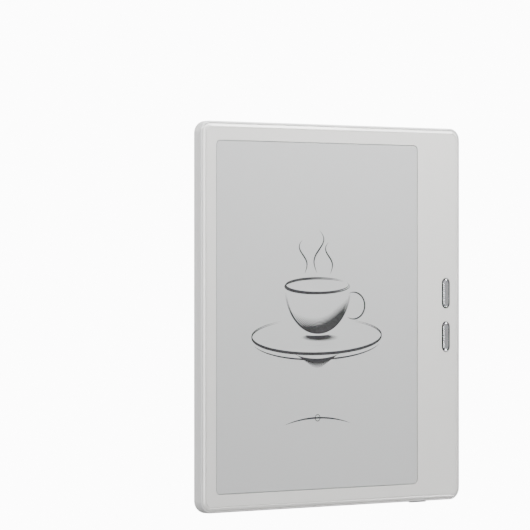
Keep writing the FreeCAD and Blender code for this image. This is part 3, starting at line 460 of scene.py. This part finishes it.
def complete(piece, body, slot, nodes_replaced, sharp=32.0):
    """Smooth a piece's soft edges, dress it, and hand it to the frame."""
    bpy.ops.object.select_all(action="DESELECT")
    bpy.context.view_layer.objects.active = piece
    piece.select_set(True)
    bpy.ops.object.shade_smooth_by_angle(angle=math.radians(sharp))
    weigh = piece.modifiers.new("flat_faces_lead", "WEIGHTED_NORMAL")
    weigh.keep_sharp = True
    bpy.ops.object.modifier_apply(modifier=weigh.name)
    dress(piece, slot)
    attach(piece, body)
    if nodes_replaced:
        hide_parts(*nodes_replaced)
    size = [round(value / MM, 2) for value in piece.dimensions]
    print(piece.name, "faces:", len(piece.data.polygons), "size in mm:", size)

# %% [markdown]
# ## Rear cover
# The rear cover is a shallow tray moulded in one shot. Its back edge is rounded widely,
# so that the reader slips into a hand, and its lip is rounded tightly round the bezel.
# The step inside the lip is where the bezel sits; behind it the tray is hollow.

# %% Rear cover: shell
cover_low, cover_high = box_mm("rear_cover")
bezel_low, bezel_high = box_mm("front_bezel")
BODY_CORNER = 5.0
BACK_ROUND = 2.5
LIP_ROUND = 0.7
LIP_WIDTH = 0.8
SIDE_WALL = 1.3
BACK_WALL = 1.2
BEZEL_THICKNESS = 1.2
bezel_front = bezel_low[DEEP]
bezel_back = bezel_front + BEZEL_THICKNESS
lip_front = cover_low[DEEP]

rear_shell = rounded_block("rear_shell", cover_low, cover_high, DEEP, BODY_CORNER, steps=14)
bevel_edges(rear_shell, lambda edge: lies_at(edge, DEEP, cover_high[DEEP]), BACK_ROUND, 9)
bevel_edges(rear_shell, lambda edge: lies_at(edge, DEEP, lip_front), LIP_ROUND, 5)
step_cap(rear_shell, DEEP, lip_front,
         [(LIP_WIDTH - LIP_ROUND, 0.0), (0, bezel_back - lip_front),
          (SIDE_WALL - LIP_WIDTH, 0.0), (0, -BACK_WALL - bezel_back)])
print("shell faces:", len(rear_shell.data.polygons))

# %% [markdown]
# The grip side carries the charging inlet, the card tray and two rows of sound holes. In
# a mould, sliding cores leave these openings; here each is carved with a cutter of the
# opening's shape. The lower edge has a slot for the power button.

# %% Rear cover: openings
SOUND_HOLE = 1.0
SOUND_PITCH = 2.0
SOUND_COUNT = 8
SOUND_ROWS_UP = (53.7, -61.1)
SOUND_DEEP = -3.1
REACH = 3.0
PLAY = 0.12
INLET_HEIGHT = 3.26
TRAY_HEIGHT = 2.5
side = cover_high[ACROSS]
along_side = (0.0, math.pi / 2, 0.0)


def side_slot(name, node, height):
    """A cutter for a stadium opening round a CAD node, through the grip side wall."""
    low, high = box_mm(node)
    middle = (low[DEEP] + high[DEEP]) / 2
    half = height / 2 + PLAY
    return rounded_block(name, (side - REACH, middle - half, low[UP] - PLAY),
                         (side + REACH, middle + half, high[UP] + PLAY), ACROSS,
                         half - NEAR, steps=8)


cutters = [side_slot("inlet_cutter", "usb_c_port", INLET_HEIGHT),
           side_slot("tray_cutter", "card_tray", TRAY_HEIGHT)]
for middle in SOUND_ROWS_UP:
    for index in range(SOUND_COUNT):
        up = middle + (index - (SOUND_COUNT - 1) / 2) * SOUND_PITCH
        cutters.append(add_pin("sound_cutter", (side, SOUND_DEEP, up), SOUND_HOLE / 2,
                               2 * REACH, along_side))
POWER_ACROSS = 47.2
POWER_DEEP = -3.2
POWER_LENGTH = 9.0
POWER_WIDTH = 2.0
POWER_PLAY = 0.15
bottom = cover_low[UP]
half_slot = POWER_WIDTH / 2 + POWER_PLAY
cutters.append(rounded_block(
    "power_cutter",
    (POWER_ACROSS - POWER_LENGTH / 2 - POWER_PLAY, POWER_DEEP - half_slot, bottom - REACH),
    (POWER_ACROSS + POWER_LENGTH / 2 + POWER_PLAY, POWER_DEEP + half_slot, bottom + REACH),
    UP, half_slot - NEAR, steps=8))
print("openings:", len(cutters))
carve(rear_shell, cutters)

# %% [markdown]
# Both back panels lie in shallow recesses. Each recess is a little larger than its panel,
# which leaves the fine shadow line that is seen round the leather grain.

# %% Rear cover: panel recesses
PANEL_GROOVE = 0.3
PANEL_CORNER = 2.8
panel_names = ("rear_main_panel", "rear_grip_panel")
recesses = []
for name in panel_names:
    low, high = box_mm(name)
    recesses.append(rounded_block(
        name + "_cutter", (low[ACROSS] - PANEL_GROOVE, low[DEEP], low[UP] - PANEL_GROOVE),
        (high[ACROSS] + PANEL_GROOVE, high[DEEP] + REACH, high[UP] + PANEL_GROOVE), DEEP,
        PANEL_CORNER + PANEL_GROOVE, steps=8))
carve(rear_shell, recesses)
complete(rear_shell, "housing", "cover_plastic", ["rear_cover"])

# %% [markdown]
# ## Back panels
# Each panel is a half-millimetre inlay. A small bevel round its edge catches the light
# and lets the panel drop into its recess.

# %% Back panels
PANEL_EDGE = 0.12
for name in panel_names:
    low, high = box_mm(name)
    panel = rounded_block("leather_" + name, low, high, DEEP, PANEL_CORNER, steps=8)
    bevel_edges(panel, lambda edge: lies_at(edge, DEEP, high[DEEP]), PANEL_EDGE, 3)
    complete(panel, "housing", "leather_grain_plastic", [name])

# %% [markdown]
# ## Front bezel
# The bezel is a thin frame. Its edge falls away in a soft slope to the lip of the cover,
# and where the slope meets the flat face runs a hair-fine groove. Four small steps make
# the slope round, and three more sink the groove.

# %% Front bezel: plate, slope and groove
BEZEL_CORNER = BODY_CORNER - (bezel_low[ACROSS] - cover_low[ACROSS])
EDGE_STEPS = ((0.12, -0.10), (0.28, -0.10), (0.70, -0.22), (0.35, -0.03))
GROOVE_STEPS = ((0.05, 0.16), (0.10, 0.0), (0.05, -0.16))
edge_drop = -sum(move for inset, move in EDGE_STEPS)
slope_start = bezel_front + edge_drop

front_frame = rounded_block("front_frame", (bezel_low[ACROSS], slope_start, bezel_low[UP]),
                            (bezel_high[ACROSS], bezel_back, bezel_high[UP]), DEEP,
                            BEZEL_CORNER, steps=14)
step_cap(front_frame, DEEP, slope_start, EDGE_STEPS + GROOVE_STEPS)
SKIRT_INSET = 0.55
SKIRT_WALL = 0.9
SKIRT_HEIGHT = 1.2
step_cap(front_frame, DEEP, bezel_back,
         [(SKIRT_INSET, 0.0), (0, SKIRT_HEIGHT), (SKIRT_WALL, 0.0), (0, -SKIRT_HEIGHT)])
print("bezel slope drops", round(edge_drop, 2), "mm")

# %% [markdown]
# The window and the two key slots go right through. The screen sits close behind the
# window, and the keys need a little play all round, or they would stick.

# %% Front bezel: window and key slots
WINDOW_GAP = 0.27
WINDOW_CORNER = 2.0
sheet_low, sheet_high = box_mm("screen_cover")
window_low = [sheet_low[ACROSS] - WINDOW_GAP, bezel_front - REACH, sheet_low[UP] - WINDOW_GAP]
window_high = [sheet_high[ACROSS] + WINDOW_GAP, bezel_back + 2 * REACH,
               sheet_high[UP] + WINDOW_GAP]
KEY_ACROSS = 60.35
KEY_MIDDLE = -0.3
KEY_PITCH = 18.25
KEY_WIDTH = 4.0
KEY_LENGTH = 12.4
KEY_PLAY = 0.22
key_ups = {"page_up_key": KEY_MIDDLE + KEY_PITCH / 2,
           "page_down_key": KEY_MIDDLE - KEY_PITCH / 2}
openings = [rounded_block("window_cutter", window_low, window_high, DEEP, WINDOW_CORNER)]
half_width = KEY_WIDTH / 2 + KEY_PLAY
half_length = KEY_LENGTH / 2 + KEY_PLAY
for name, up in key_ups.items():
    openings.append(rounded_block(
        name + "_cutter", (KEY_ACROSS - half_width, bezel_front - REACH, up - half_length),
        (KEY_ACROSS + half_width, bezel_back + 2 * REACH, up + half_length), DEEP,
        half_width - NEAR, steps=14))
carve(front_frame, openings)
OPENINGS_WITHIN = 64.0
taller_by = cover_high[UP] - cover_high[ACROSS]


def round_opening(edge):
    """True for the rim of the window or of a key slot, on the bezel's face."""
    middle = (edge.verts[0].co + edge.verts[1].co) / 2 / MM
    inside = max(abs(middle.x), abs(middle.z) - taller_by) < OPENINGS_WITHIN
    return lies_at(edge, DEEP, bezel_front) and inside


OPENING_EDGE = 0.09
bevel_edges(front_frame, round_opening, OPENING_EDGE, 2)
complete(front_frame, "housing", "bezel_plastic", ["front_bezel"])
rim_start = bezel_high[ACROSS] - sum(inset for inset, move in EDGE_STEPS)


def on_slope(face):
    """True for the sloped rim between the flat face and the lip."""
    middle = face.calc_center_median() / MM
    outside = abs(middle.x) > rim_start or abs(middle.z) > rim_start + taller_by
    return outside and bezel_front - NEAR < middle.y < slope_start - NEAR


# the slope gets the glossier lacquer, whose lighter colour is a painted highlight
paint_faces(front_frame, lacquer_edge_painted_highlight, on_slope)

# %% [markdown]
# ## Screen sheet
# The screen's outer sheet is acid-etched, so it looks like paper. Its cut edge is broken
# with a small bevel, which is what makes the thin dark line inside the window.

# %% Screen sheet
SHEET_EDGE = 0.14
etched_sheet = rounded_block("etched_sheet", sheet_low, sheet_high, DEEP,
                             WINDOW_CORNER - WINDOW_GAP)
bevel_edges(etched_sheet, lambda edge: lies_at(edge, DEEP, sheet_low[DEEP]), SHEET_EDGE, 3)
complete(etched_sheet, "housing", "screen_sheet", ["screen_cover"])

# %% [markdown]
# ## Push buttons
# The two page keys and the power button are the same kind of piece: a stadium cap with a
# sloped edge, on a wider flange that stops it from falling out of its slot. The flange
# is drawn first, and the cap is pushed out of it.

# %% Push buttons


def push_button(name, width, length, flange, flange_thickness, stand, edge_steps):
    """A button facing -Y round the origin, its flange's back face at Y = 0."""
    half = [width / 2 + flange, length / 2 + flange]
    button = rounded_block(name, (-half[0], -flange_thickness, -half[1]),
                           (half[0], 0.0, half[1]), DEEP, half[0] - NEAR, steps=16)
    rise = -sum(move for inset, move in edge_steps)
    step_cap(button, DEEP, -flange_thickness,
             [(flange, 0.0), (0, -(stand - flange_thickness - rise)), *edge_steps])
    return button

# %% [markdown]
# Each page key is a chromed cap whose lower sides are painted black, as painted shade for the dark
# line round the cap. The steps of its edge slope down to that line, and sink a fine groove round
# the flat top.

# %% Page keys
PAINTED_SHADE_DEEP = -0.28
KEY_FLANGE = 0.6
KEY_FLANGE_THICKNESS = 0.4
KEY_EDGE_STEPS = ((0.30, -0.10), (0.04, -0.07), (0.42, -0.14), (0.10, 0.03), (0.25, -0.02))
for name, up in key_ups.items():
    low, high = box_mm(name)
    flange_back = bezel_back + KEY_FLANGE_THICKNESS
    key = push_button("chromed_" + name, KEY_WIDTH, KEY_LENGTH, KEY_FLANGE, KEY_FLANGE_THICKNESS,
                      flange_back - low[DEEP], KEY_EDGE_STEPS)
    key.location = (KEY_ACROSS * MM, flange_back * MM, up * MM)
    apply_place(key)
    complete(key, name, "chromed_key", [name])
    # painted shade: the key's faces deeper than this are painted black to make the dark line round
    # the cap
    paint_faces(key, finishes["black_moulding"],
                lambda face: face.calc_center_median().y > (bezel_front + PAINTED_SHADE_DEEP) * MM)

# %% [markdown]
# The power button is drawn facing forwards and then turned to face down, into the slot
# in the lower edge. Its flange rests on the inside of the side wall.

# %% Power button
POWER_FLANGE = 0.8
POWER_FLANGE_THICKNESS = 0.45
POWER_EDGE_STEPS = ((0.08, -0.14), (0.14, -0.08), (0.2, -0.03))
low, high = box_mm("power_button")
power_back = bottom + SIDE_WALL + POWER_FLANGE_THICKNESS
power = push_button("anodised_power_button", POWER_WIDTH, POWER_LENGTH, POWER_FLANGE,
                    POWER_FLANGE_THICKNESS, power_back - low[UP], POWER_EDGE_STEPS)
power.rotation_euler = (0.0, math.pi / 2, 0.0)
apply_place(power)
power.rotation_euler = (math.pi / 2, 0.0, 0.0)
power.location = (POWER_ACROSS * MM, POWER_DEEP * MM, power_back * MM)
apply_place(power)
complete(power, "power_button", "dark_anodised", ["power_button"])

# %% [markdown]
# ## Drawing on the screen
# The resting screen shows a plain line drawing: a cup on a saucer with steam over it, and
# below them an arc with a small ring. It is made of ellipses and waves only. Each stroke
# is a tapered wire laid along its line.

# %% Drawing: strokes
PEN = 0.8
DRAW_ACROSS = -9.0
INK_HEIGHT = 0.012
strokes = []


def stroke(points, pen=PEN, fade=0.25):
    """Draw one stroke through points in millimetres, thin at both ends."""
    wire = bpy.data.curves.new("stroke", "CURVE")
    wire.dimensions = "3D"
    wire.bevel_depth = pen / 2 * MM
    wire.bevel_resolution = 1
    wire.use_fill_caps = True
    line = wire.splines.new("POLY")
    line.points.add(len(points) - 1)
    for index, (across, up) in enumerate(points):
        run = index / (len(points) - 1)
        line.points[index].co = (across * MM, 0.0, up * MM, 1.0)
        line.points[index].radius = fade + (1.0 - fade) * math.sin(math.pi * run) ** 0.5
    shown = bpy.data.objects.new("stroke", wire)
    bpy.context.scene.collection.objects.link(shown)
    strokes.append(shown)


def arc(across, up, wide, high, start, end, count=48):
    """Points along an ellipse, between two angles in degrees."""
    angles = [math.radians(start + (end - start) * index / (count - 1))
              for index in range(count)]
    return [(across + wide * math.cos(angle), up + high * math.sin(angle))
            for angle in angles]


def wave(across, up, swing, height, count=40):
    """Points along a rising wave whose swing grows with its height."""
    runs = [index / (count - 1) for index in range(count)]
    return [(across + swing * (0.4 + run) * math.sin(2 * math.pi * run), up + height * run)
            for run in runs]


RIM_UP = 12.0
RIM_WIDE = 17.0
RIM_HIGH = 3.0
BOWL_DEPTH = 19.0
SAUCER_UP = -8.0
SAUCER_WIDE = 34.0
SAUCER_HIGH = 7.2
THIN = 0.4
for shift in (0.0, 0.5):
    stroke(arc(DRAW_ACROSS, RIM_UP + shift, RIM_WIDE - shift, RIM_HIGH, 20, 395))
    stroke(arc(DRAW_ACROSS + shift, RIM_UP, RIM_WIDE, BOWL_DEPTH, 181, 359))
    stroke(arc(DRAW_ACROSS, SAUCER_UP - shift, SAUCER_WIDE, SAUCER_HIGH, 112, 428))
stroke(arc(DRAW_ACROSS, RIM_UP - 1.2, RIM_WIDE - 2.2, RIM_HIGH - 0.8, 190, 350), THIN)
stroke(arc(DRAW_ACROSS, SAUCER_UP - 1.6, SAUCER_WIDE, 8.2, 188, 352), PEN)
stroke(arc(DRAW_ACROSS, SAUCER_UP - 0.5, 20.0, 3.6, 150, 390), THIN)
# the handle, as an outer and an inner line
stroke(arc(DRAW_ACROSS + RIM_WIDE + 2.0, 4.0, 6.0, 5.5, -130, 120), 0.9)
stroke(arc(DRAW_ACROSS + RIM_WIDE + 1.6, 4.2, 4.2, 3.8, -120, 110), THIN)

# shading strokes follow the bowl's outline, thinner and shorter towards its middle
BOWL_SHADES = 15
SAUCER_SHADES = 9
for index in range(BOWL_SHADES):
    fall = index / BOWL_SHADES
    stroke(arc(DRAW_ACROSS + 3.0 * fall, RIM_UP, RIM_WIDE - 0.5 - 9.0 * fall,
               18.6 - 8.0 * fall, 205 + 35 * fall, 352 - 12 * fall, 30),
           0.9 - 0.6 * fall, fade=0.1)
# and others darken the saucer under the bowl, and the saucer's foot
for index in range(SAUCER_SHADES):
    fall = index / SAUCER_SHADES
    stroke(arc(DRAW_ACROSS + 2.0 * fall, SAUCER_UP + 0.6, 7.0 + 11.0 * fall,
               1.0 + 2.6 * fall, 195, 350, 24), 0.8 - 0.5 * fall, fade=0.1)
    stroke(arc(DRAW_ACROSS, SAUCER_UP - 5.5 - 0.5 * index, 13.0 - 0.9 * index,
               4.2 - 0.1 * index, 200, 340, 24), 0.75 - 0.3 * fall, fade=0.1)
# three wisps of steam, each with a thin line beside it
for across, swing, height in ((-7.0, 2.2, 15.0), (0.0, -2.8, 19.0), (6.5, 2.0, 14.0)):
    stroke(wave(DRAW_ACROSS + across, RIM_UP + 4.5, swing, height), PEN)
    stroke(wave(DRAW_ACROSS + across + 0.9, RIM_UP + 5.5, swing, height - 2.5), THIN)
# the plain arc, with the ring on its top
ARC_TOP = -41.5
ARC_RADIUS = 60.0
ARC_HALF_ANGLE = 18
RING_RADIUS = 1.3
stroke(arc(DRAW_ACROSS, ARC_TOP - ARC_RADIUS, ARC_RADIUS, ARC_RADIUS, 90 + ARC_HALF_ANGLE,
           90 - ARC_HALF_ANGLE), PEN)
stroke(arc(DRAW_ACROSS, ARC_TOP, RING_RADIUS, RING_RADIUS, 0, 360, 24), 0.6, fade=1.0)
print("strokes drawn:", len(strokes))

# %% [markdown]
# Ink has hardly any thickness. The wires become one mesh, which is squashed in depth
# until it is almost flat, and laid on the front of the screen sheet.

# %% Drawing: joined and pressed flat
bpy.ops.object.select_all(action="DESELECT")
for shown in strokes:
    shown.select_set(True)
bpy.context.view_layer.objects.active = strokes[0]
bpy.ops.object.convert(target="MESH")
bpy.ops.object.join()
drawing = bpy.context.object
drawing.name = "resting_drawing"
drawing.scale = (1.0, INK_HEIGHT / PEN, 1.0)
drawing.location = (0.0, (sheet_low[DEEP] + INK_HEIGHT / 4) * MM, 0.0)
apply_place(drawing)
drawing.data.materials.clear()
drawing.data.materials.append(pencil_ink)
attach(drawing, "housing")
print("strokes:", len(strokes), "faces:", len(drawing.data.polygons))

# %% [markdown]
# ## Studio
# A grey floor lies far below the reader, with a plain room all round it. Both show as
# white to the camera, but they light the reader only dimly. A camera that is lower than
# the floor sees nothing but white.

# %% Floor and room
FLOOR_DROP = 0.30
FLOOR_SIZE = 60.0
SEEN_WHITE = 12.0
ROOM_LIGHT = 0.38


def lit_backdrop(tree, lit_shader):
    """White where the camera looks at it, and the given shader for every other ray."""
    seen = add_node(tree, "ShaderNodeEmission", {"Strength": SEEN_WHITE})
    path = add_node(tree, "ShaderNodeLightPath")
    return add_node(tree, "ShaderNodeMixShader", {},
                    {0: path.outputs["Is Camera Ray"], 1: lit_shader, 2: seen.outputs[0]})


bpy.ops.object.select_all(action="DESELECT")
bpy.ops.mesh.primitive_plane_add(size=FLOOR_SIZE,
                                 location=(0.0, 0.0, cad_bounds[0].z - FLOOR_DROP))
floor = bpy.context.object
floor.name = "studio_floor"
floor_finish, floor_tree, floor_shader = new_finish("grey_paper_floor")
floor_shader.inputs["Base Color"].default_value = linear("#5A5A5A")
floor_shader.inputs["Roughness"].default_value = 0.8
floor_mix = lit_backdrop(floor_tree, floor_shader.outputs[0])
floor_tree.links.new(floor_mix.outputs[0], floor_tree.nodes["Material Output"].inputs["Surface"])
floor.data.materials.append(floor_finish)

world = bpy.data.worlds.new("white_room")
bpy.context.scene.world = world
world.use_nodes = True
room = world.node_tree
room.nodes.clear()
lit = add_node(room, "ShaderNodeBackground",
               {"Color": (1.0, 1.0, 1.0, 1.0), "Strength": ROOM_LIGHT})
room_mix = lit_backdrop(room, lit.outputs[0])
add_node(room, "ShaderNodeOutputWorld", {}, {0: room_mix.outputs[0]})
print("floor at Z =", round(floor.location.z, 3), "m")

# %% [markdown]
# ## Lights
# Softboxes stand round the reader. The large ones behind, above and to the left fill its
# shape evenly; the narrow strips are there to be mirrored in the rounded edges and the
# chromed keys. The last one stands behind the reader and is hidden from the camera.

# %% Lights


def add_softbox(name, place, aim, width, height, watts):
    """A flat lamp at a place, aimed at a point; sizes in metres."""
    data = bpy.data.lights.new(name, "AREA")
    data.shape = "RECTANGLE"
    data.size = width
    data.size_y = height
    data.energy = watts
    lamp = bpy.data.objects.new(name, data)
    lamp.location = place
    lamp.rotation_mode = "QUATERNION"
    lamp.rotation_quaternion = (Vector(aim) - Vector(place)).to_track_quat("-Z", "Y")
    bpy.context.scene.collection.objects.link(lamp)
    return lamp


add_softbox("near_top_strip", (0.03, -0.2, 0.24), (0.0, 0.0, 0.02), 0.35, 0.1, 1.75)
add_softbox("rear_box", (-0.8, 1.3, 0.45), (0.0, 0.0, 0.0), 0.8, 0.8, 14.0)
add_softbox("overhead_box", (0.0, 0.05, 0.9), (0.0, 0.0, 0.0), 0.9, 0.9, 9.0)
add_softbox("left_box", (-1.2, 0.1, 0.2), (0.0, 0.0, 0.0), 0.6, 0.9, 7.5)
add_softbox("front_box", (0.03, -1.2, 0.1), (0.0, 0.0, 0.0), 0.16, 0.9, 5.2)
add_softbox("right_high_box", (0.78, -0.79, 0.6), (0.0, 0.0, 0.0), 0.3, 0.2, 3.2)
add_softbox("right_strip", (1.0, -0.88, 0.05), (0.0, 0.0, 0.0), 0.2, 0.9, 0.9)
add_softbox("low_strip", (0.4, -0.42, -0.32), (0.0, 0.0, -0.05), 0.4, 0.02, 0.7)
backdrop_glow = add_softbox("backdrop_glow", (0.9, 1.1, 0.5), (0.0, 0.0, 0.3), 1.6, 1.2, 26.0)
backdrop_glow.visible_camera = False
lamps = [thing for thing in bpy.context.scene.objects if thing.type == "LIGHT"]
watts_in_all = sum(lamp.data.energy for lamp in lamps)
print("softboxes:", len(lamps), "watts in all:", round(watts_in_all, 2))
